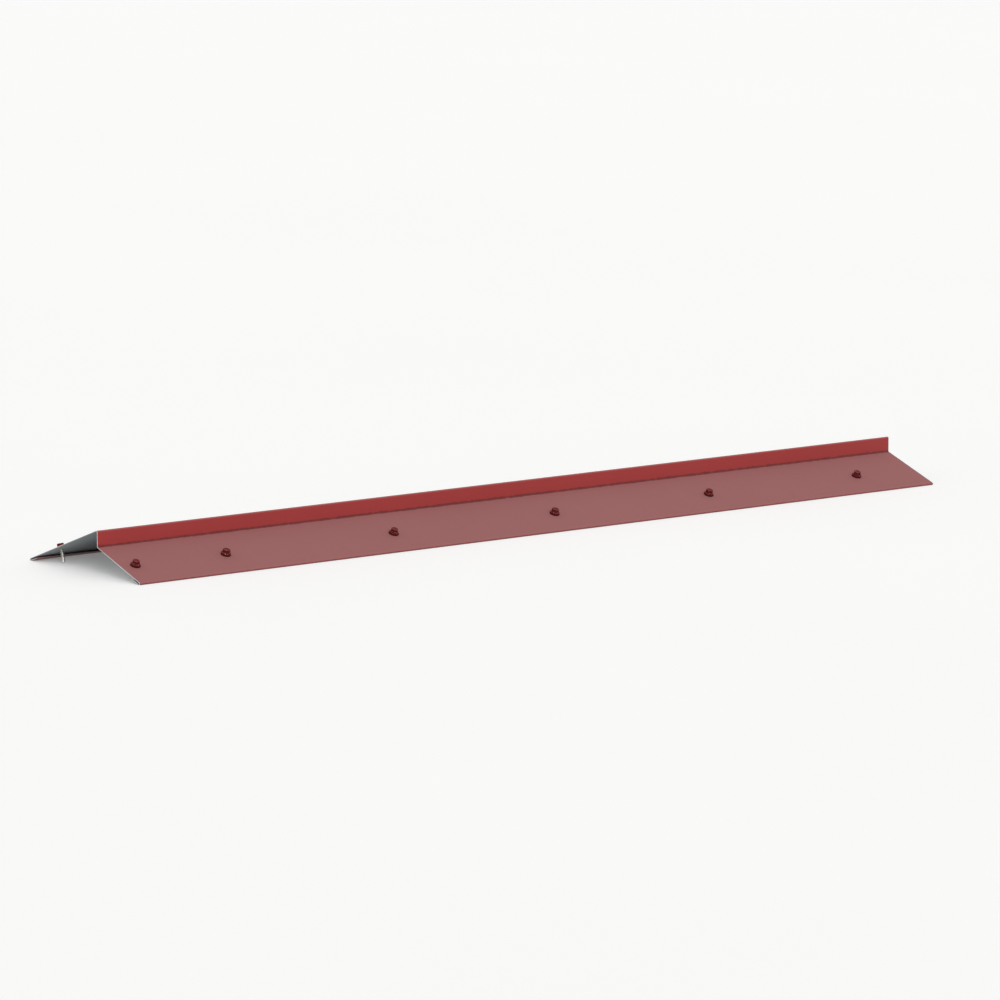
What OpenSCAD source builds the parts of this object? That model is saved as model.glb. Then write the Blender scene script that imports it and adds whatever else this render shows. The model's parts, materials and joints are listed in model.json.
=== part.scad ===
// Folded ridge cap of colour-coated steel sheet, with the screws that hold it on both slopes.
// Four folds in one strip make a hem, the front leg, an upright step, the rear leg
// and a second hem. The cap lies on its two hems.
// X runs along the ridge, -Y is the front slope and Z is up.
// The origin is on the floor, below the middle of the cap's outline.

/* [Cap] */
// Length along the ridge
cap_l = 1250; // [400:50:3000]
// Thickness of the coated sheet
sheet_t = 0.6; // [0.4:0.05:1.2]
// Slope of both legs below the horizontal, in degrees
leg_slope = 20; // [18:1:40]
// Width of the front leg, from its outer edge to the foot of the step
front_leg_w = 92; // [75:1:180]
// Height of the upright step between the front leg and the ridge
step_h = 20; // [12:1:60]
// Inside radius of the folds at the foot and the top of the step
fold_r = 1.5; // [0.8:0.1:3]

/* [Hems] */
// Width of the hem folded under each outer edge
hem_w = 14; // [10:1:24]
// Clear gap between the hem and the leg above it
hem_gap = 2; // [1.2:0.1:3]

/* [Screw rows] */
// Distance of the first screw of a row from the left end
screw_end = 20; // [15:1:60]
// Distance from that screw to the second one
screw_pair = 130; // [60:5:330]
// Spacing of the roof ribs that the screws go into
rib_pitch = 125; // [80:5:330]
// Ribs from one screw to the next, after the pair at the left end
rib_step = 2; // [1:1:3]
// Distance of each row from the outer edge of its leg
screw_edge = 40; // [26:1:60]
// Clearance round the screw's neck in the sheet
hole_gap = 0.3; // [0.1:0.05:0.6]

/* [Screws] */
// Length under the flange, with the drill point
shank_l = 19; // [16:1:19]
// Diameter of the plain neck that passes through the washer, the seal and the sheet
neck_d = 4; // [3.8:0.1:5]
// Length of the neck that shows under the sheet
neck_out = 0.4; // [0.2:0.1:1]
// Diameter of the shank at the root of its thread
root_d = 3.6; // [3.4:0.05:3.7]
// Diameter of the drill point
drill_d = 3.2; // [3:0.05:3.25]
// Length of the drill point, with its cone
drill_l = 5; // [3:0.1:6]
// Width of the web between the two drill flutes
drill_web = 1.4; // [0.8:0.1:2]
// Length of the cone at the tip
tip_l = 1.8; // [1:0.1:2.5]
// Diameter of the flat left at the very tip
tip_d = 0.6; // [0.3:0.1:1]
// Diameter of the pressed flange under the head
flange_d = 10.5; // [10:0.1:11]
// Thickness of the flange at its rim
flange_rim_t = 0.5; // [0.3:0.05:0.9]
// Thickness of the flange where it meets the hexagon
flange_t = 1.1; // [0.9:0.05:1.5]
// Width of the hexagon across its flats
hex_af = 8; // [6:0.1:8.5]
// Height of the hexagon above the flange
hex_h = 3.4; // [2.5:0.1:5]
// Angle of the chamfer on the hexagon's corners, in degrees
hex_chamfer = 30; // [15:1:40]
// Depth of the dished recess in the top of the hexagon
dish_depth = 0.5; // [0.2:0.05:0.9]
// Diameter of the dished recess
dish_d = 5.2; // [3:0.1:5.6]
// Turn from one driven hexagon to the next, in degrees
drive_turn = 23; // [0:1:59]

/* [Sealing washers] */
// Outer diameter of the steel washer
washer_d = 12; // [11.5:0.5:19]
// Thickness of the steel washer
washer_t = 1; // [0.6:0.1:1.5]
// Drop of the washer's crowned top towards its rim
washer_crown = 0.4; // [0.1:0.05:0.5]
// Clearance round the neck in the washer's bore
washer_gap = 0.6; // [0.2:0.05:0.8]
// Thickness of the rubber seal, pressed down
seal_t = 1.6; // [1:0.1:3]
// Bulge of the pressed seal beyond the washer's rim
seal_bulge = 0.3; // [0.1:0.05:0.5]
// Clearance round the neck in the seal's bore
seal_gap = 0.15; // [0.05:0.05:0.4]

/* [Hidden] */
// Flats that make up one fold of the sheet
fold_steps = 12;
// Facets of a round shape, taken as a true circle
round_n = 64;
// Length by which a cut runs past what it cuts
overrun = 1;

// Radii of the sheet's middle line in the folds and hems
fold_mid_r = fold_r + sheet_t / 2;
hem_mid_r = (hem_gap + sheet_t) / 2;
hem_out_r = hem_mid_r + sheet_t / 2;

// Lengths that a fold takes from the flats on both of its sides
foot_angle = 90 - leg_slope;
ridge_angle = 90 + leg_slope;
foot_in = fold_mid_r * tan(foot_angle / 2);
ridge_in = fold_mid_r * tan(ridge_angle / 2);

// Length of the neck from the flange, and radius of the arc round the pressed seal's rim
neck_l = washer_t + seal_t + sheet_t + neck_out;
seal_rim_r = (pow(seal_t / 2, 2) + pow(seal_bulge, 2)) / (2 * seal_bulge);

// Flats between the folds; the rear leg comes down to the height of the front one
hem_flat = hem_w - hem_out_r;
front_flat = front_leg_w - hem_out_r - foot_in;
step_flat = step_h - foot_in - ridge_in;
rear_flat = front_flat + (2 * fold_mid_r * cos(leg_slope) + step_flat) / sin(leg_slope);

// Distance across the cap between the axes of the two hems
hem_span = (front_flat + rear_flat) * cos(leg_slope) + 2 * fold_mid_r - 2 * hem_mid_r * sin(leg_slope);

// The strip as it is folded: length of a flat, then the turn after it and the turn's radius
FOLDS = [
    [hem_flat, -180, hem_mid_r],
    [front_flat, foot_angle, fold_mid_r],
    [step_flat, -ridge_angle, fold_mid_r],
    [rear_flat, -180, hem_mid_r],
    [hem_flat, 0, 0]
];

// Distances of a row's screws from the cap's left end
screw_places = concat(
    [screw_end],
    [for (x = [screw_end + screw_pair : rib_step * rib_pitch : cap_l - screw_end]) x]
);
screw_count = len(screw_places);

// The two slopes with the sign of their Y, and the kinds of part that each screw takes
SIDES = [["front", -1], ["rear", 1]];
KINDS = ["screw", "washer", "seal"];
function part_name(side, kind, i) = str(side[0], "_", kind, "_", i + 1);

// Heading and left-hand normal of a point that travels along the section
function heading(a) = [cos(a), sin(a)];
function left_of(a) = [-sin(a), cos(a)];

// Stations of one turn, each a point of the middle line with its heading
function turn_stations(p, a, turn, r) = [
    for (k = [1 : fold_steps])
        let (b = a + turn * k / fold_steps)
        [p + sign(turn) * r * (left_of(a) - left_of(b)), b]
];

// Stations from fold i to the end of the strip
function fold_stations(i, p, a) =
    i == len(FOLDS) ? [] :
    let (
        flat_end = [p + FOLDS[i][0] * heading(a), a],
        turn = FOLDS[i][1] == 0 ? [] : turn_stations(flat_end[0], a, FOLDS[i][1], FOLDS[i][2]),
        stations = concat([flat_end], turn),
        last = stations[len(stations) - 1]
    )
    concat(stations, fold_stations(i + 1, last[0], last[1]));

// The walk starts at the free end of the front hem and heads down the slope
start_angle = 180 + leg_slope;
start_p = [-hem_span / 2, hem_out_r] + hem_mid_r * left_of(start_angle) - hem_flat * heading(start_angle);
stations = concat([[start_p, start_angle]], fold_stations(0, start_p, start_angle));

// Outline of the folded strip: its coated side, and back along the other side
module strip_section() {
    coated = [for (s = stations) s[0] + left_of(s[1]) * sheet_t / 2];
    back = [for (k = [len(stations) - 1 : -1 : 0]) stations[k][0] - left_of(stations[k][1]) * sheet_t / 2];
    polygon(concat(coated, back));
}

// Puts its children on the outer face of a leg at screw i, with Z square to the leg
module at_screw(side, i) {
    translate([screw_places[i] - cap_l / 2, side[1] * hem_span / 2, hem_out_r])
        rotate([-side[1] * leg_slope, 0, 0])
            translate([0, -side[1] * (screw_edge - hem_out_r), hem_out_r])
                children();
}

module ridge_cap() {
    color("#9e3a3a")
        difference() {
            translate([-cap_l / 2, 0, 0])
                rotate([90, 0, 90])
                    linear_extrude(height = cap_l)
                        strip_section();
            for (side = SIDES)
                for (i = [0 : screw_count - 1])
                    at_screw(side, i)
                        translate([0, 0, -sheet_t - overrun])
                            cylinder(h = sheet_t + 2 * overrun, d = neck_d + 2 * hole_gap, $fn = round_n);
        }
}

// Rubber ring with a bulged rim, on the sheet
module seal() {
    bore_r = neck_d / 2 + seal_gap;
    color("#1c1c1e")
        rotate_extrude($fn = round_n)
            union() {
                translate([bore_r, 0])
                    square([washer_d / 2 - bore_r, seal_t]);
                intersection() {
                    translate([washer_d / 2 + seal_bulge - seal_rim_r, seal_t / 2])
                        circle(r = seal_rim_r, $fn = round_n);
                    translate([bore_r, 0])
                        square([washer_d / 2 + seal_bulge - bore_r, seal_t]);
                }
            }
}

// Steel ring on the seal, with a crowned top
module washer() {
    bore_r = neck_d / 2 + washer_gap;
    color("#6e1f24")
        translate([0, 0, seal_t])
            rotate_extrude($fn = round_n)
                polygon([
                    [bore_r, 0],
                    [washer_d / 2, 0],
                    [washer_d / 2, washer_t - washer_crown],
                    [flange_d / 2, washer_t],
                    [bore_r, washer_t]
                ]);
}

// Hexagon with chamfered corners and a dished top, standing on the flange
module hex_head() {
    corner_r = hex_af / 2 / cos(30);
    chamfer_h = (corner_r - hex_af / 2) * tan(hex_chamfer);
    ball_r = (pow(dish_d / 2, 2) + pow(dish_depth, 2)) / (2 * dish_depth);
    difference() {
        intersection() {
            cylinder(h = hex_h, r = corner_r, $fn = 6);
            rotate_extrude($fn = round_n)
                polygon([
                    [0, 0],
                    [corner_r, 0],
                    [corner_r, hex_h - chamfer_h],
                    [hex_af / 2, hex_h],
                    [0, hex_h]
                ]);
        }
        translate([0, 0, hex_h + ball_r - dish_depth])
            sphere(r = ball_r, $fn = round_n);
    }
}

// Flange that slopes from the hexagon down to its rim
module flange() {
    rotate_extrude($fn = round_n)
        polygon([
            [0, 0],
            [flange_d / 2, 0],
            [flange_d / 2, flange_rim_t],
            [hex_af / 2, flange_t],
            [0, flange_t]
        ]);
}

// Plain neck, thread root and drill point, with two flutes milled along the point
module shank() {
    difference() {
        rotate_extrude($fn = round_n)
            polygon([
                [0, 0],
                [0, -shank_l],
                [tip_d / 2, -shank_l],
                [drill_d / 2, tip_l - shank_l],
                [drill_d / 2, drill_l - shank_l],
                [root_d / 2, drill_l - shank_l],
                [root_d / 2, -neck_l],
                [neck_d / 2, -neck_l],
                [neck_d / 2, 0]
            ]);
        for (half = [0, 180])
            rotate([0, 0, half])
                translate([drill_web / 2, 0, -shank_l - overrun])
                    cube([drill_d, drill_d, drill_l + overrun]);
    }
}

// Screw i of a row, driven until its flange bears on the washer
module screw(i) {
    color("#6e1f24")
        translate([0, 0, seal_t + washer_t])
            rotate([0, 0, i * drive_turn]) {
                translate([0, 0, flange_t])
                    hex_head();
                flange();
                shank();
            }
}

ridge_cap();
for (side = SIDES)
    for (i = [0 : screw_count - 1]) {
        at_screw(side, i) screw(i);
        at_screw(side, i) washer();
        at_screw(side, i) seal();
    }
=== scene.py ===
# %% [markdown]
# # A folded ridge cap in coated steel
#
# The object is one length of metal ridge cap: a strip of red coil-coated steel, folded so that
# one leg slopes down on each side of the ridge, with a short upright step between them and a
# hem along each edge. Twelve self-drilling screws with rubber-sealed washers stand in it.
#
# The CAD model already holds every piece at its real size. This lesson gives those pieces
# their finishes, adds the one form that CAD leaves out, the screw threads, and sets the studio.

# %% Load the frame
import json
import math

import bpy
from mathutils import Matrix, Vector


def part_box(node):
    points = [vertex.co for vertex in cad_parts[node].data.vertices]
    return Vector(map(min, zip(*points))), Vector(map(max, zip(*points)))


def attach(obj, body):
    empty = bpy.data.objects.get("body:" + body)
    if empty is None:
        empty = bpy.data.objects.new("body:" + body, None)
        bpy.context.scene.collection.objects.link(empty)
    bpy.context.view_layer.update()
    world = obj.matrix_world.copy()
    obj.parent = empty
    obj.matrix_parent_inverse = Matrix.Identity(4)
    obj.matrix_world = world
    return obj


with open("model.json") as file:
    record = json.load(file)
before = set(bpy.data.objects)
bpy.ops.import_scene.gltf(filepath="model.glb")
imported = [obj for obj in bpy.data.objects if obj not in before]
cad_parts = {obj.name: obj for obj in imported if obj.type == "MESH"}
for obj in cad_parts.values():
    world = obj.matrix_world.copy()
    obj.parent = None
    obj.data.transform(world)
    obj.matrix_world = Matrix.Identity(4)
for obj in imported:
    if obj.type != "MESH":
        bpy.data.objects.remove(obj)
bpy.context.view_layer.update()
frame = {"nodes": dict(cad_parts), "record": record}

# %% [markdown]
# ## Sizes come from the frame
#
# A finish that changes from one face to another, such as the top coat outside and the grey
# back coat inside, has to know where the faces are. Those places could be typed in, but they
# would drift away from the CAD with its next change. So each one is read from the packed
# model or worked out from it: the cap's box, the slope of its hems and the axes of its screws.
# The frame doesn't state every size, so a few, such as the sheet's thickness and the width of
# the front leg, still repeat a number of the CAD source. Blender works in metres, so a size in
# millimetres is written as a number times MM.

# %% Sizes of the cap
MM = 0.001

cap_low, cap_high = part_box("ridge_cap")
mounts = {mount["name"]: mount for mount in frame["record"]["mounts"]}
hem_down = Vector(mounts["front_hem_face"]["axis"])
slope = math.atan2(hem_down.y, -hem_down.z)
half_length = cap_high.x

SHEET = 0.6 * MM
HEM_R = 1.6 * MM  # outside radius of the hem's fold
LEG_W = 92 * MM  # front leg, from its low edge to the step's foot
hem_y = cap_high.y - HEM_R

# The foot of the step is where the outer faces of the leg and the step would meet.
foot_y = (LEG_W - HEM_R) * math.cos(slope) - HEM_R * math.sin(slope) - hem_y
foot_z = (LEG_W - HEM_R) * math.sin(slope) + HEM_R * math.cos(slope) + HEM_R
flat_from = abs(foot_y) + 1 * MM  # both legs are flat beyond this distance from the middle
print("slope", round(math.degrees(slope), 2), "length", round(2 * half_length, 4))
print("foot of the step:", round(foot_y / MM, 2), round(foot_z / MM, 2), "mm")

# %% Places of the screws
shanks = [mount for name, mount in mounts.items() if "_shank_" in name]
front_row = sorted(mount["pos_m"][0] for mount in shanks if mount["name"].startswith("front"))
thread_length = mounts["front_shank_1"]["dims"]["length_mm"] * MM
root_radius = mounts["front_shank_1"]["dims"]["r_mm"] * MM

up_slope = Vector((0, math.cos(slope), math.sin(slope)))
hem_axis = Vector((0, -hem_y, HEM_R))
row_up_slope = (Vector(mounts["front_shank_1"]["pos_m"]) - hem_axis).dot(up_slope)
print("screws in a row:", len(front_row), "at", round(row_up_slope / MM, 1), "mm from the hem's axis")

# %% [markdown]
# ## Colours and nodes
#
# Colours are picked as sRGB hex values, as a paint chart gives them, but the renderer adds up
# light, so it needs linear numbers. One function does that conversion. Another adds a node with
# its settings and links in one call and gives back an output, so that a material reads from top
# to bottom like a recipe. The eight kinds of node that come back most get short names.
#
# A Mix node keeps a set of sockets for each kind of value, and they are told apart by number:
# 0 is the factor, 2 and 3 are two numbers, 6 and 7 are two colours, and the mixed colour comes
# out of output 2.

# %% Colours and nodes
MATH, VECTOR_MATH = "ShaderNodeMath", "ShaderNodeVectorMath"
SPLIT, JOIN = "ShaderNodeSeparateXYZ", "ShaderNodeCombineXYZ"
MIX, MAP_RANGE = "ShaderNodeMix", "ShaderNodeMapRange"
NOISE, BUMP = "ShaderNodeTexNoise", "ShaderNodeBump"


def linear(hex_text):
    """An sRGB hex colour as linear red, green, blue and alpha."""
    parts = [int(hex_text[i:i + 2], 16) / 255 for i in (1, 3, 5)]
    return tuple(c / 12.92 if c <= 0.04045 else ((c + 0.055) / 1.055) ** 2.4 for c in parts) + (1.0,)


def fill(node, inputs):
    """Fills a node's inputs: a socket is linked, a hex colour or a plain value is set."""
    for key, value in inputs.items():
        if isinstance(value, bpy.types.NodeSocket):
            node.id_data.links.new(value, node.inputs[key])
        elif isinstance(value, str) and value.startswith("#"):
            node.inputs[key].default_value = linear(value)
        else:
            node.inputs[key].default_value = value


def add(tree, kind, inputs=None, out=0, **settings):
    """Adds a node, sets and fills it, and gives back one of its outputs."""
    node = tree.nodes.new(kind)
    for name, value in settings.items():
        setattr(node, name, value)
    fill(node, inputs or {})
    return node.outputs[out] if node.outputs else node


print("rose #945d5c in linear light:", [round(part, 3) for part in linear("#945d5c")[:3]])

# %% [markdown]
# ## Where on the strip is a point?
#
# Painted vertex colours could mark the faces, but they would need a finer mesh than the CAD's,
# and a CAD node's mesh is never changed. So the place is worked out for each point instead.
#
# Both legs have the same slope, so one picture of a leg serves for both: the point's Y is
# folded over to its absolute value. From the hem's axis two distances then tell everything.
# One runs up the slope, the other stands square to the leg. A point of the outer face is the
# hem's outside radius away from the hem's middle line, and a point of the inner face one sheet
# thickness less, all the way round the hem.

# %% Distances that the finishes share
def strip_places(tree, where):
    """Sockets for a point's place on the strip, by name, all in metres."""
    split = add(tree, SPLIT, {0: where}).node.outputs
    side = add(tree, MATH, {0: split["Y"]}, operation="ABSOLUTE")
    one_side = add(tree, JOIN, {"X": split["X"], "Y": side, "Z": split["Z"]})
    from_hem = add(tree, VECTOR_MATH, {0: one_side, 1: (0, hem_y, HEM_R)}, operation="SUBTRACT")
    up_leg = (0, -math.cos(slope), math.sin(slope))
    off_leg = (0, math.sin(slope), math.cos(slope))
    up = add(tree, VECTOR_MATH, {0: from_hem, 1: up_leg}, "Value", operation="DOT_PRODUCT")
    square = add(tree, VECTOR_MATH, {0: from_hem, 1: off_leg}, "Value", operation="DOT_PRODUCT")
    beyond = add(tree, MATH, {0: up, 1: 0.0}, operation="MINIMUM")
    flat = add(tree, JOIN, {"X": beyond, "Y": square})
    around = add(tree, VECTOR_MATH, {0: flat}, "Value", operation="LENGTH")
    return {"x": split["X"], "y": split["Y"], "z": split["Z"], "side": side,
            "up": up, "square": square, "around": around}


print("the hem's axis lies", round(hem_y / MM, 1), "mm out and", round(HEM_R / MM, 1), "mm up")

# %% [markdown]
# ## Coil-coated steel
#
# Ridge caps are folded from steel that was galvanised and then painted as a flat coil: primer
# and a 25 micron polyester top coat on the weather side, a thin grey coat on the back. Rolling
# the paint on leaves a very fine orange peel and an even satin gloss. Where the coat faces up,
# on both legs, a dull rose is painted in as the sheen of the white sky, while the upright step
# keeps its red. Shade is painted into the fold at the step's foot and under the hems' edges.
#
# Separate materials would need the strip cut into faces, and it is one solid with one material
# slot. So one material mixes its zones, and each zone is a mask that goes from 0 to 1. The
# first two masks tell the coat from the back and the faces with painted sky sheen from the others.

# %% Coated side and painted sheen side
BETWEEN_FACES = HEM_R - SHEET / 2  # the middle of the sheet, from the hem's middle line
STEP_LOOKS = (0, -0.6, 0.8)  # outwards for the step and its folds, both to the front and up


def coated_side(tree, at, facing):
    """1 on the weather side of the strip, 0 on its back."""
    outer = add(tree, MATH, {0: at["around"], 1: BETWEEN_FACES}, operation="GREATER_THAN")
    lean = add(tree, VECTOR_MATH, {0: facing, 1: STEP_LOOKS}, "Value", operation="DOT_PRODUCT")
    faces_out = add(tree, MATH, {0: lean, 1: 0.0}, operation="GREATER_THAN")
    on_leg = add(tree, MATH, {0: at["side"], 1: flat_from}, operation="GREATER_THAN")
    return add(tree, MIX, {0: on_leg, 2: faces_out, 3: outer})


def sky_sheen_side(tree, at, facing):
    """1 where the sky's sheen is painted in as rose: on both legs and round their edges, not on the step.
    """
    height = add(tree, SPLIT, {0: facing}).node.outputs["Z"]
    # On the step's folds the painted sheen starts where the coat faces up by 17 degrees, and is full at 58.
    above = add(tree, MAP_RANGE, {"Value": height, "From Min": 0.3, "From Max": 0.85},
                interpolation_type="SMOOTHSTEP")
    # Round a hem it fades out only where the coat already faces down.
    edge = add(tree, MAP_RANGE, {"Value": height, "From Min": -0.6, "From Max": 0.1},
               interpolation_type="SMOOTHSTEP")
    on_leg = add(tree, MATH, {0: at["side"], 1: flat_from}, operation="GREATER_THAN")
    return add(tree, MIX, {0: on_leg, 2: above, 3: edge})


print("both legs are flat beyond", round(flat_from / MM, 1), "mm from the middle")

# %% [markdown]
# The next masks are the small signs of making and use, and painted shade. A fold is where the
# surface looks along none of the flat faces. The sheared ends are bare metal, with a ragged line
# of chipped coat beside them. Shade is painted within a few millimetres of the step's foot and
# under the lower half of each hem's edge. Such marks could be painted by hand, but a mask
# follows the strip if its size changes.

# %% Folds, bare ends and painted shade
FLAT_FACINGS = [
    (0, -math.sin(slope), math.cos(slope)),
    (0, math.sin(slope), math.cos(slope)),
    (0, 1, 0),
    (1, 0, 0),
]
CHIP_REACH = 0.9 * MM
SHADE_REACH = 5 * MM
SHADE_PATCH = 6 * MM
DRIP_FROM, DRIP_TO = 0.8 * MM, 2.6 * MM  # heights between which the painted shade under the hems fades out


def fold_zone(tree, facing):
    """1 in the folds, 0 on every flat."""
    flatness = 0.0
    for direction in FLAT_FACINGS:
        along = add(tree, VECTOR_MATH, {0: facing, 1: direction}, "Value", operation="DOT_PRODUCT")
        along = add(tree, MATH, {0: along}, operation="ABSOLUTE")
        flatness = add(tree, MATH, {0: flatness, 1: along}, operation="MAXIMUM")
    # A fold starts 4 degrees away from every flat, and is full at 14.
    return add(tree, MAP_RANGE, {
        "Value": flatness, "From Min": 0.97, "From Max": 0.998, "To Min": 1.0, "To Max": 0.0,
    })


def bare_zone(tree, where, at, facing):
    """1 on the sheared ends and on the chips beside them."""
    lengthwise = add(tree, VECTOR_MATH, {0: facing, 1: (1, 0, 0)}, "Value", operation="DOT_PRODUCT")
    lengthwise = add(tree, MATH, {0: lengthwise}, operation="ABSOLUTE")
    end_face = add(tree, MATH, {0: lengthwise, 1: 0.7}, operation="GREATER_THAN")
    from_middle = add(tree, MATH, {0: at["x"]}, operation="ABSOLUTE")
    from_end = add(tree, MATH, {0: half_length, 1: from_middle}, operation="SUBTRACT")
    ragged = add(tree, NOISE, {"Vector": where, "Scale": 1 / CHIP_REACH, "Detail": 4.0}, "Fac")
    reach = add(tree, MATH, {0: ragged, 1: CHIP_REACH}, operation="MULTIPLY")
    chipped = add(tree, MATH, {0: from_end, 1: reach}, operation="LESS_THAN")
    return add(tree, MATH, {0: end_face, 1: chipped}, operation="MAXIMUM")


def painted_shade_zone(tree, where, at):
    """1 where shade is painted: in the fold at the step's foot and along the lower half of each hem's edge.
    """
    across = add(tree, MATH, {0: at["y"], 1: foot_y}, operation="SUBTRACT")
    height = add(tree, MATH, {0: at["z"], 1: foot_z}, operation="SUBTRACT")
    from_foot = add(tree, JOIN, {"X": across, "Y": height})
    away = add(tree, VECTOR_MATH, {0: from_foot}, "Value", operation="LENGTH")
    ragged = add(tree, NOISE, {"Vector": where, "Scale": 1 / SHADE_PATCH, "Detail": 4.0}, "Fac")
    reach = add(tree, MATH, {0: ragged, 1: SHADE_REACH}, operation="MULTIPLY")
    share = add(tree, MATH, {0: away, 1: reach}, operation="DIVIDE")
    # painted shade in the concave fold at the step's foot
    in_fold = add(tree, MAP_RANGE, {
        "Value": share, "From Min": 0.35, "From Max": 1.0, "To Min": 1.0, "To Max": 0.0,
    })
    # painted shade along the lower half of each hem's edge
    low = add(tree, MAP_RANGE, {
        "Value": at["z"], "From Min": DRIP_FROM, "From Max": DRIP_TO, "To Min": 1.6, "To Max": 0.0,
    })
    hem_shade = add(tree, MATH, {0: low, 1: ragged}, operation="MULTIPLY")
    return add(tree, MATH, {0: in_fold, 1: hem_shade}, operation="MAXIMUM")


print("dirt reaches", round(SHADE_REACH / MM, 1), "mm from the foot, chips", round(CHIP_REACH / MM, 1), "mm")

# %% [markdown]
# A tightened screw draws the sheet into a shallow dimple. The screws stand at a regular
# spacing after the pair at the left end, so a wrap folds all of them onto one, and the distance
# from it gives the dimple's height for a bump. That costs one mask for twelve dimples.

# %% Dimples round the screws
DIMPLE_FLOOR, DIMPLE_RIM = 5 * MM, 19 * MM  # radii between which the sheet rises again

screw_spacing = front_row[2] - front_row[1]
pair_middle = (front_row[0] + front_row[1]) / 2
print("screw spacing:", round(screw_spacing / MM, 1), "mm")


def screw_dimples(tree, at):
    """0 at each screw, rising to 1 on the undisturbed sheet."""
    from_second = add(tree, MATH, {0: at["x"], 1: front_row[1]}, operation="SUBTRACT")
    repeated = add(tree, MATH, {0: from_second, 1: screw_spacing / 2, 2: -screw_spacing / 2},
                   operation="WRAP")
    from_first = add(tree, MATH, {0: at["x"], 1: front_row[0]}, operation="SUBTRACT")
    near_first = add(tree, MATH, {0: at["x"], 1: pair_middle}, operation="LESS_THAN")
    along = add(tree, MIX, {0: near_first, 2: repeated, 3: from_first})
    across = add(tree, MATH, {0: at["up"], 1: row_up_slope}, operation="SUBTRACT")
    from_screw = add(tree, JOIN, {"X": along, "Y": across})
    away = add(tree, VECTOR_MATH, {0: from_screw}, "Value", operation="LENGTH")
    return add(tree, MAP_RANGE, {"Value": away, "From Min": DIMPLE_FLOOR, "From Max": DIMPLE_RIM},
               interpolation_type="SMOOTHSTEP")


# %% [markdown]
# Now the zones come together. The colour starts with the fresh red, turns to rose painted sheen
# where the sheen mask says so, and takes the specks, the strained folds and the painted shade on top.
# The back coat and the bare metal come last, because they hide all that lies below them.

# %% Colour of the sheet
CLOUD = 90 * MM  # slow drift in the shade of the paint
SPECK = 1.1 * MM  # real specks of grime are a few tenths of a millimetre, too fine to show
STREAK = 14 * MM  # width of the streaks that rain leaves
STREAK_STRETCH = (1, 0.08, 0.08)  # they run down the slope


def sheet_colour(tree, where, zones, rain):
    """Every paint and metal of the strip, each in its own zone."""
    clouds = add(tree, NOISE, {"Vector": where, "Scale": 1 / CLOUD, "Detail": 3.0}, "Fac")
    specks = add(tree, NOISE, {"Vector": where, "Scale": 1 / SPECK, "Detail": 2.0}, "Fac")

    fresh = add(tree, MIX, {0: clouds, 6: "#912827", 7: "#972c2b"}, 2, data_type="RGBA")
    # painted sheen: this rose stands in for the white sky's reflection on the faces that look up
    sheened = add(tree, MIX, {0: clouds, 6: "#945d5c", 7: "#986160"}, 2, data_type="RGBA")
    washed = add(tree, MAP_RANGE, {"Value": rain, "From Min": 0.45, "From Max": 0.8, "To Max": 0.15})
    sheened = add(tree, MIX, {0: washed, 6: sheened, 7: "#9a6765"}, 2, data_type="RGBA")
    coat = add(tree, MIX, {0: zones["sky_sheen"], 6: fresh, 7: sheened}, 2, data_type="RGBA")

    grime = add(tree, MAP_RANGE, {"Value": specks, "From Min": 0.62, "From Max": 0.75, "To Max": 0.12})
    coat = add(tree, MIX, {0: grime, 6: coat, 7: "#6f1413"}, 2, data_type="RGBA")
    strained = add(tree, MAP_RANGE, {
        "Value": specks, "From Min": 0.3, "From Max": 0.7, "To Min": 0.05, "To Max": 0.25,
    })
    strained = add(tree, MATH, {0: zones["folds"], 1: strained}, operation="MULTIPLY")
    coat = add(tree, MIX, {0: strained, 6: coat, 7: "#a8403c"}, 2, data_type="RGBA")
    # painted shade: dark red in the step's foot and under the hems' edges
    shaded = add(tree, MATH, {0: zones["dirt"], 1: 0.75}, operation="MULTIPLY")
    coat = add(tree, MIX, {0: shaded, 6: coat, 7: "#4a0c0b"}, 2, data_type="RGBA")

    back = add(tree, MIX, {0: clouds, 6: "#868b8e", 7: "#979c9e"}, 2, data_type="RGBA")
    metal = add(tree, MIX, {0: specks, 6: "#a9acad", 7: "#e4e6e5"}, 2, data_type="RGBA")
    paint = add(tree, MIX, {0: zones["coated"], 6: back, 7: coat}, 2, data_type="RGBA")
    return add(tree, MIX, {0: zones["bare"], 6: paint, 7: metal}, 2, data_type="RGBA")


print("rain streaks:", round(STREAK / MM), "by", round(STREAK / STREAK_STRETCH[1] / MM), "mm")

# %% [markdown]
# The legs are nearly matt, because the sky's sheen on them is painted into their rose colour,
# while the step keeps its satin gloss. The relief is three bumps in a row, each with its real
# depth: the orange peel of the rollers, the slow waves that a folded strip always has, and the
# dimples. All three are far too shallow to change the outline, so a bump shows them as well as
# moved mesh would, at no cost in faces.

# %% Gloss and relief of the sheet
FRESH_ROUGH, BACK_ROUGH, BARE_ROUGH = 0.38, 0.58, 0.38
PEEL, PEEL_DEPTH = 2.4 * MM, 0.02 * MM  # drawn coarser than the rollers leave it, so it shows
WAVE, WAVE_DEPTH = 170 * MM, 1.5 * MM
DIMPLE_DEPTH = 0.35 * MM


def sheet_gloss(tree, zones, rain):
    """Roughness: satin where fresh, nearly matt where the sheen is painted in."""
    dull = add(tree, MAP_RANGE, {
        "Value": rain, "From Min": 0.3, "From Max": 0.8, "To Min": 0.8, "To Max": 0.9,
    })
    gloss = add(tree, MIX, {0: zones["sky_sheen"], 2: FRESH_ROUGH, 3: dull})
    gloss = add(tree, MIX, {0: zones["coated"], 2: BACK_ROUGH, 3: gloss})
    return add(tree, MIX, {0: zones["bare"], 2: gloss, 3: BARE_ROUGH})


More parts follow.
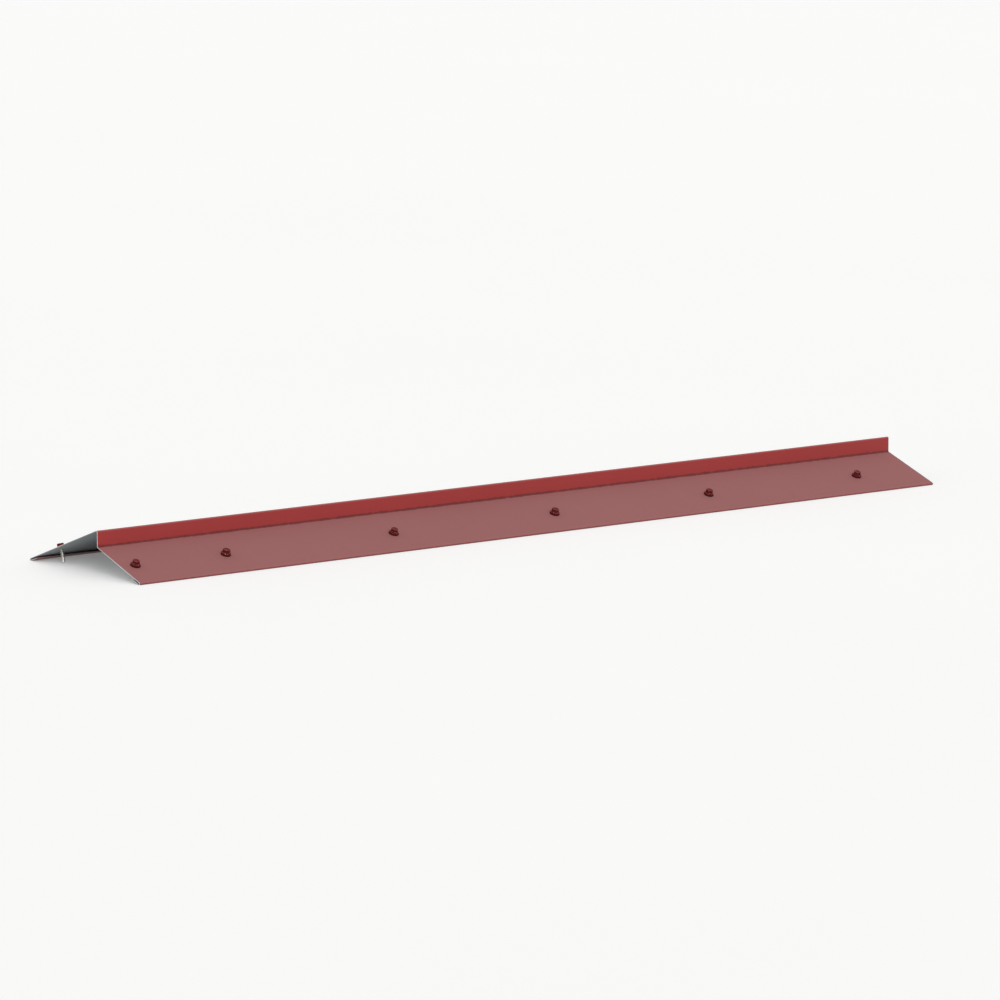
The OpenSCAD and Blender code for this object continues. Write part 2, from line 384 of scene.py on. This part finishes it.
def sheet_relief(tree, where, at):
    """Orange peel, slow waves and the screws' dimples."""
    peel = add(tree, NOISE, {"Vector": where, "Scale": 1 / PEEL, "Detail": 1.0}, "Fac")
    waves = add(tree, NOISE, {"Vector": where, "Scale": 1 / WAVE, "Detail": 1.0}, "Fac")
    relief = add(tree, BUMP, {"Height": peel, "Distance": PEEL_DEPTH})
    relief = add(tree, BUMP, {"Height": waves, "Distance": WAVE_DEPTH, "Normal": relief})
    dimples = screw_dimples(tree, at)
    return add(tree, BUMP, {"Height": dimples, "Distance": DIMPLE_DEPTH, "Normal": relief})


print("deepest relief:", round(WAVE_DEPTH / MM, 1), "mm over", round(WAVE / MM), "mm")


# %% Start a material and dress a piece with it
def start_material(name):
    """An empty material: its node tree, its Principled shader and the place on the object."""
    material = bpy.data.materials.new(name)
    material.use_nodes = True
    tree = material.node_tree
    tree.nodes.clear()
    shader = tree.nodes.new("ShaderNodeBsdfPrincipled")
    add(tree, "ShaderNodeOutputMaterial", {"Surface": shader.outputs[0]})
    where = add(tree, "ShaderNodeTexCoord", out="Object")
    return material, tree, shader, where


def dress(part, material):
    """Gives one material to every CAD node whose name holds the part's name."""
    dressed = [node for name, node in frame["nodes"].items() if part in name]
    for node in dressed:
        node.data.materials.clear()
        node.data.materials.append(material)
    print(material.name, "on", len(dressed), "nodes")


# %% Coated sheet
def coated_sheet():
    """Red polyester top coat, grey back coat and bare cut ends."""
    material, tree, shader, where = start_material("coil_coated_steel")
    facing = add(tree, "ShaderNodeTexCoord", out="Normal")
    at = strip_places(tree, where)
    zones = {
        "coated": coated_side(tree, at, facing),
        # painted sky sheen: the faces that look up are painted rose
        "sky_sheen": sky_sheen_side(tree, at, facing),
        "folds": fold_zone(tree, facing),
        "bare": bare_zone(tree, where, at, facing),
        "dirt": painted_shade_zone(tree, where, at),
    }
    down_slope = add(tree, "ShaderNodeMapping", {"Vector": where, "Scale": STREAK_STRETCH})
    rain = add(tree, NOISE, {"Vector": down_slope, "Scale": 1 / STREAK, "Detail": 4.0}, "Fac")
    fill(shader, {
        "Base Color": sheet_colour(tree, where, zones, rain),
        "Roughness": sheet_gloss(tree, zones, rain),
        "Metallic": zones["bare"],
        "Normal": sheet_relief(tree, where, at),
        "IOR": 1.4,  # polyester has 1.5, and less here, as the sheen on the legs is painted into their rose
    })
    return material


dress("ridge_cap", coated_sheet())

# %% [markdown]
# ## Painted heads on zinc-plated shanks
#
# The screws are carbon steel, zinc plated all over. Only the head and its flange are powder
# coated, in a darker red than the sheet, which gives them a soft satin look. The socket of the
# driver chips the coat off the corners of the hexagon. Worn corners could be picked out by
# hand, screw by screw, but a Bevel node finds them all: it gives the normal of a softly rounded
# edge, and where that differs from the true normal there is an edge. The same node rounds the
# edges to the eye, as the thick powder does. The border between paint and zinc is the underside
# of the flange, which is a distance square to the leg.

# %% Screw finish
SEAL_AND_WASHER = 2.6 * MM  # their height together in the CAD, between sheet and flange
PAINT_MARGIN = 0.05 * MM  # the coat runs a little way round the flange's edge
EDGE_ROUNDING = 0.22 * MM
POWDER_GRAIN, GRAIN_DEPTH = 0.5 * MM, 0.02 * MM
ZINC_PATCH = 1.5 * MM
ZINC_ROUGH = 0.34
ZINC_DARK, ZINC_LIGHT = "#a3a49f", "#cfcdc3"


def worn_corners(tree, rounded, patches):
    """1 where the driver's socket has chipped the coat off a corner."""
    true_normal = add(tree, "ShaderNodeNewGeometry", out="Normal")
    match = add(tree, VECTOR_MATH, {0: rounded, 1: true_normal}, "Value", operation="DOT_PRODUCT")
    edge = add(tree, MAP_RANGE, {"Value": match, "From Min": 0.99, "From Max": 0.9})
    worn = add(tree, MATH, {0: edge, 1: patches}, operation="MULTIPLY")
    return add(tree, MAP_RANGE, {"Value": worn, "From Min": 0.42, "From Max": 0.5})


def screw_finish():
    """Powder-coated head with worn corners, zinc-plated shank."""
    material, tree, shader, where = start_material("powder_coated_and_zinc_plated_screw")
    off_leg = strip_places(tree, where)["square"]
    grain = add(tree, NOISE, {"Vector": where, "Scale": 1 / POWDER_GRAIN, "Detail": 2.0}, "Fac")
    patches = add(tree, NOISE, {"Vector": where, "Scale": 1 / ZINC_PATCH, "Detail": 3.0}, "Fac")
    rounded = add(tree, "ShaderNodeBevel", {"Radius": EDGE_ROUNDING}, samples=6)

    border = HEM_R + SEAL_AND_WASHER - PAINT_MARGIN
    above = add(tree, MATH, {0: off_leg, 1: border}, operation="GREATER_THAN")
    kept = add(tree, MATH, {0: 1.0, 1: worn_corners(tree, rounded, patches)}, operation="SUBTRACT")
    painted = add(tree, MATH, {0: above, 1: kept}, operation="MULTIPLY")
    plated = add(tree, MATH, {0: 1.0, 1: painted}, operation="SUBTRACT")

    paint = add(tree, MIX, {0: grain, 6: "#520608", 7: "#62090c"}, 2, data_type="RGBA")
    zinc = add(tree, MIX, {0: patches, 6: ZINC_DARK, 7: ZINC_LIGHT}, 2, data_type="RGBA")
    satin = add(tree, MAP_RANGE, {
        "Value": grain, "From Min": 0.3, "From Max": 0.7, "To Min": 0.42, "To Max": 0.52,
    })
    fill(shader, {
        "Base Color": add(tree, MIX, {0: painted, 6: zinc, 7: paint}, 2, data_type="RGBA"),
        "Roughness": add(tree, MIX, {0: painted, 2: ZINC_ROUGH, 3: satin}),
        "Metallic": plated,
        "Normal": add(tree, BUMP, {"Height": grain, "Distance": GRAIN_DEPTH, "Normal": rounded}),
        "IOR": 1.27,  # fresh powder coat has 1.5, and weather has taken most of the shine
    })
    return material


dress("_screw_", screw_finish())

# %% [markdown]
# ## Sealing washers
#
# A bonded washer is a pressed steel disc with a ring of rubber vulcanised to it. The disc is
# painted with the screw's head, which leaves it dark with a soft shine. The rubber is EPDM:
# black and matt, and where it bulges out from under the disc it holds the red dust that rain
# washes off the sheet. The discs could be modelled again with more detail, but both shapes are
# whole in the CAD, so each needs a finish only.

# %% Washer and seal finishes
WASHER_GRAIN, WASHER_DEPTH = 0.8 * MM, 0.03 * MM
CHALK_BLOOM = 1.6 * MM
RUBBER_GRAIN, RUBBER_DEPTH = 0.3 * MM, 0.02 * MM


def washer_finish():
    """Satin paint on a galvanised disc."""
    material, tree, shader, where = start_material("painted_washer_steel")
    grain = add(tree, NOISE, {"Vector": where, "Scale": 1 / WASHER_GRAIN, "Detail": 3.0}, "Fac")
    fill(shader, {
        "Base Color": add(tree, MIX, {0: grain, 6: "#4e0608", 7: "#5e090c"}, 2, data_type="RGBA"),
        "Roughness": add(tree, MAP_RANGE, {
            "Value": grain, "From Min": 0.3, "From Max": 0.7, "To Min": 0.5, "To Max": 0.62,
        }),
        "Normal": add(tree, BUMP, {"Height": grain, "Distance": WASHER_DEPTH}),
        "IOR": 1.27,  # as weathered as the coat on the screw's head
    })
    return material


def seal_finish():
    """Matt black EPDM rubber with red dust on it."""
    material, tree, shader, where = start_material("epdm_rubber")
    bloom = add(tree, NOISE, {"Vector": where, "Scale": 1 / CHALK_BLOOM, "Detail": 4.0}, "Fac")
    fine = add(tree, NOISE, {"Vector": where, "Scale": 1 / RUBBER_GRAIN, "Detail": 2.0}, "Fac")
    dusty = add(tree, MAP_RANGE, {"Value": bloom, "From Min": 0.45, "From Max": 0.75, "To Max": 0.5})
    fill(shader, {
        "Base Color": add(tree, MIX, {0: dusty, 6: "#2d0c0e", 7: "#4c181a"}, 2, data_type="RGBA"),
        "Roughness": add(tree, MAP_RANGE, {
            "Value": bloom, "From Min": 0.3, "From Max": 0.7, "To Min": 0.8, "To Max": 0.95,
        }),
        "Normal": add(tree, BUMP, {"Height": fine, "Distance": RUBBER_DEPTH}),
        "IOR": 1.25,  # rubber has 1.5, and the dust on it hides its shine
    })
    return material


dress("_washer_", washer_finish())
dress("_seal_", seal_finish())

# %% [markdown]
# ## Screw threads with Geometry Nodes
#
# The CAD shank is plain at the root of its thread. The thread is a thin ridge that winds down
# it with a pitch of 1.6 mm and dies away at both ends. That is a rule, so Geometry Nodes make
# it: a spiral, a four-sided profile swept along it, and one copy on each of the twelve
# shanks, turned to the shank's axis. A spiral in plain mesh code would do as well, but the tree
# keeps pitch, height and length as inputs that can be changed afterwards.

# %% Sizes of the thread
PITCH = 1.6 * MM
CREST_RADIUS = 2.35 * MM
RIDGE_FOOT = 0.9 * MM
RIDGE_CREST = 0.14 * MM
SINK = 0.08 * MM  # how deep the ridge's foot sits in the shank
POINTS_PER_TURN = 26

thread_sizes = {
    "Root Radius": root_radius, "Crest Radius": CREST_RADIUS, "Pitch": PITCH,
    "Length": thread_length, "Foot Width": RIDGE_FOOT, "Crest Width": RIDGE_CREST,
}
print("turns on each shank:", round(thread_length / PITCH, 1))


# %% The thread's spiral
def thread_spiral(tree, given, foot):
    """The line that the ridge's foot follows, and how far the ridge has grown at each point."""
    turns = add(tree, MATH, {0: given["Length"], 1: given["Pitch"]}, operation="DIVIDE")
    line = add(tree, "GeometryNodeCurveSpiral", {
        "Resolution": POINTS_PER_TURN, "Rotations": turns,
        "Start Radius": foot, "End Radius": foot, "Height": given["Length"],
        "Reverse": True,  # right-handed, as screws are
    })
    line = add(tree, "GeometryNodeSetCurveNormal", {"Curve": line}, mode="Z_UP")
    along = add(tree, "GeometryNodeSplineParameter", out="Factor")
    left = add(tree, MATH, {0: 1.0, 1: along}, operation="SUBTRACT")
    nearer = add(tree, MATH, {0: along, 1: left}, operation="MINIMUM")
    turned = add(tree, MATH, {0: nearer, 1: turns}, operation="MULTIPLY")
    grown = add(tree, "ShaderNodeClamp", {"Value": turned, "Min": 0.1, "Max": 1.0})
    return line, grown


# %% The ridge's profile
def ridge_profile(tree, given, foot):
    """A four-sided outline, wide at the foot and narrow at the crest. Its X looks outwards."""
    height = add(tree, MATH, {0: given["Crest Radius"], 1: foot}, operation="SUBTRACT")
    corners = {}
    for point, out, width, way in ((1, 0, "Foot Width", -0.5), (2, 1, "Crest Width", -0.5),
                                   (3, 1, "Crest Width", 0.5), (4, 0, "Foot Width", 0.5)):
        reach = add(tree, MATH, {0: height, 1: float(out)}, operation="MULTIPLY")
        across = add(tree, MATH, {0: given[width], 1: way}, operation="MULTIPLY")
        corners[f"Point {point}"] = add(tree, JOIN, {"X": reach, "Y": across})
    return add(tree, "GeometryNodeCurvePrimitiveQuadrilateral", corners, mode="POINTS")


print("the ridge stands", round((CREST_RADIUS - root_radius) / MM, 2), "mm out of the shank")


# %% The copies on the shanks
def thread_tree(material):
    """A tree that winds one thread for each point, along the point's axis attribute."""
    tree = bpy.data.node_groups.new("thread_on_each_shank", "GeometryNodeTree")
    tree.interface.new_socket("Shanks", in_out="INPUT", socket_type="NodeSocketGeometry")
    for name in thread_sizes:
        tree.interface.new_socket(name, in_out="INPUT", socket_type="NodeSocketFloat")
    tree.interface.new_socket("Threads", in_out="OUTPUT", socket_type="NodeSocketGeometry")
    given = tree.nodes.new("NodeGroupInput").outputs

    foot = add(tree, MATH, {0: given["Root Radius"], 1: SINK}, operation="SUBTRACT")
    line, grown = thread_spiral(tree, given, foot)
    ridge = add(tree, "GeometryNodeCurveToMesh", {
        "Curve": line, "Profile Curve": ridge_profile(tree, given, foot), "Scale": grown,
        "Fill Caps": True,
    })
    axis = add(tree, "GeometryNodeInputNamedAttribute", {"Name": "axis"}, data_type="FLOAT_VECTOR")
    turn = add(tree, "FunctionNodeAlignRotationToVector", {"Vector": axis}, axis="Z")
    copies = add(tree, "GeometryNodeInstanceOnPoints", {
        "Points": given["Shanks"], "Instance": ridge, "Rotation": turn,
    })
    solid = add(tree, "GeometryNodeRealizeInstances", {"Geometry": copies})
    plated = add(tree, "GeometryNodeSetMaterial", {"Geometry": solid, "Material": material})
    add(tree, "NodeGroupOutput", {0: plated})
    return tree


# %% Zinc plating
def zinc_plating():
    """Bright zinc plating on carbon steel: a cool metal shine, slightly cloudy."""
    material, tree, shader, where = start_material("zinc_plated_thread")
    patches = add(tree, NOISE, {"Vector": where, "Scale": 1 / ZINC_PATCH, "Detail": 3.0}, "Fac")
    zinc = add(tree, MIX, {0: patches, 6: ZINC_DARK, 7: ZINC_LIGHT}, 2, data_type="RGBA")
    rough = add(tree, MAP_RANGE, {
        "Value": patches, "From Min": 0.3, "From Max": 0.7, "To Min": 0.28, "To Max": 0.42,
    })
    fill(shader, {"Base Color": zinc, "Roughness": rough, "Metallic": 1.0})
    return material


# %% Threads on the twelve shanks
def wind_threads():
    """One mesh with a thread on every shank, made by the tree and then kept as a plain mesh."""
    axes = [Vector(mount["axis"]) for mount in shanks]
    starts = [Vector(mount["pos_m"]) - axis * thread_length / 2 for mount, axis in zip(shanks, axes)]
    mesh = bpy.data.meshes.new("shank_starts")
    mesh.from_pydata(starts, [], [])
    attribute = mesh.attributes.new("axis", "FLOAT_VECTOR", "POINT")
    for i, axis in enumerate(axes):
        attribute.data[i].vector = axis
    threads = bpy.data.objects.new("screw_threads", mesh)
    bpy.context.scene.collection.objects.link(threads)

    modifier = threads.modifiers.new("threads", "NODES")
    modifier.node_group = thread_tree(zinc_plating())
    for item in modifier.node_group.interface.items_tree:
        if item.name in thread_sizes:
            modifier[item.identifier] = thread_sizes[item.name]
    bpy.context.view_layer.update()
    shaped = threads.evaluated_get(bpy.context.evaluated_depsgraph_get())
    plain = bpy.data.meshes.new_from_object(shaped)
    threads.modifiers.clear()
    threads.data = plain
    return threads


threads = wind_threads()
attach(threads, "root")
print("thread faces:", len(threads.data.polygons))

# %% [markdown]
# ## Floor and light
#
# The cap lies on a pale floor, in plain soft light. The camera, and anything glossy, sees a
# white world, so that it stands out against white. A wide sun with soft edges comes from the
# front and lights the upright step a little more than the sloping leg. More lamps could whiten
# the floor too, but they would bleach the red, so the floor is lifted only where it is seen
# and not in the light that it throws back on the cap.

# %% Floor
FLOOR_REACH = 40.0
FLOOR_CLOUDS = 1.2  # soft clouds in each metre of floor
FLOOR_LIFT = 0.18  # adds to the floor's brightness where it is seen


def seen_directly(tree):
    """1 for the camera, reflections and glass, 0 for the light that falls on the cap."""
    path = add(tree, "ShaderNodeLightPath").node.outputs
    seen = add(tree, MATH, {0: path["Is Camera Ray"], 1: path["Is Glossy Ray"]}, operation="MAXIMUM")
    return add(tree, MATH, {0: seen, 1: path["Is Transmission Ray"]}, operation="MAXIMUM")


def pale_floor():
    """A flat, matt, nearly white floor."""
    far = FLOOR_REACH
    corners = [(-far, -far, 0), (far, -far, 0), (far, far, 0), (-far, far, 0)]
    mesh = bpy.data.meshes.new("studio_floor")
    mesh.from_pydata(corners, [], [(0, 1, 2, 3)])
    floor = bpy.data.objects.new("studio_floor", mesh)
    bpy.context.scene.collection.objects.link(floor)

    material, tree, shader, where = start_material("pale_studio_floor")
    clouds = add(tree, NOISE, {"Vector": where, "Scale": FLOOR_CLOUDS, "Detail": 2.0}, "Fac")
    fill(shader, {
        "Base Color": add(tree, MIX, {0: clouds, 6: "#f3f3f2", 7: "#f6f6f5"}, 2, data_type="RGBA"),
        "Roughness": 0.8,
        "Emission Color": "#ffffff",
        "Emission Strength": add(tree, MATH, {0: seen_directly(tree), 1: FLOOR_LIFT}, operation="MULTIPLY"),
    })
    mesh.materials.append(material)
    print(floor.name, "is", 2 * far, "metres wide")


pale_floor()


# %% World and sun
def white_world(as_light):
    """White to the camera and to gloss, and softer as a light."""
    world = bpy.data.worlds.new("studio_world")
    bpy.context.scene.world = world
    world.use_nodes = True
    tree = world.node_tree
    tree.nodes.clear()
    strength = add(tree, MIX, {0: seen_directly(tree), 2: as_light, 3: 1.0})
    background = add(tree, "ShaderNodeBackground", {"Color": "#ffffff", "Strength": strength})
    add(tree, "ShaderNodeOutputWorld", {"Surface": background})


def soft_sun(azimuth, elevation, strength, width):
    """A sun that shines from an azimuth, 0 being the front, and an elevation, in degrees."""
    lamp = bpy.data.lights.new("soft_sun", "SUN")
    lamp.energy = strength
    lamp.angle = math.radians(width)
    sun = bpy.data.objects.new("soft_sun", lamp)
    a, e = math.radians(azimuth), math.radians(elevation)
    from_where = Vector((math.sin(a) * math.cos(e), -math.cos(a) * math.cos(e), math.sin(e)))
    sun.rotation_euler = from_where.to_track_quat("Z", "Y").to_euler()
    bpy.context.scene.collection.objects.link(sun)
    print("sun from", [round(part, 2) for part in from_where])


white_world(as_light=0.6)
soft_sun(azimuth=-25, elevation=26, strength=1.6, width=30)

# %% [markdown]
# ## Camera
#
# Worked out from its perspective, the photograph was taken with about an 85 mm lens from seven
# metres, heading 38 degrees round from square-on to this length of cap and looking down on it
# by 9 degrees. A camera anywhere on that line would show the same side, but the near end would
# look too large or too small. So it stands at that very place, and a longer lens brings the one
# length up to the frame's width.

# %% Camera at the photograph's place
CAMERA_PLACE = Vector((-4.474, -5.619, 1.134))
SENSOR = 36.0
FILL = 0.94  # share of the frame's width that the cap takes


def photo_camera():
    """A camera at the photograph's place, aimed at the cap and zoomed in on it."""
    lens = bpy.data.cameras.new("photo_camera")
    camera = bpy.data.objects.new("photo_camera", lens)
    look = (Vector((0, 0, cap_high.z / 2)) - CAMERA_PLACE).normalized()
    camera.location = CAMERA_PLACE
    camera.rotation_euler = look.to_track_quat("-Z", "Y").to_euler()
    bpy.context.scene.collection.objects.link(camera)

    right = look.cross(Vector((0, 0, 1))).normalized()
    corners = [(x, y, 0) for x in (cap_low.x, cap_high.x) for y in (cap_low.y, cap_high.y)]
    sights = [Vector(corner) - CAMERA_PLACE for corner in corners]
    reach = max(abs(sight.dot(right)) / sight.dot(look) for sight in sights)
    lens.sensor_width = SENSOR
    lens.lens = SENSOR / 2 / reach * FILL
    bpy.context.scene.camera = camera
    print("lens", round(lens.lens, 1), "mm")


photo_camera()
bpy.context.scene.view_settings.view_transform = "Standard"
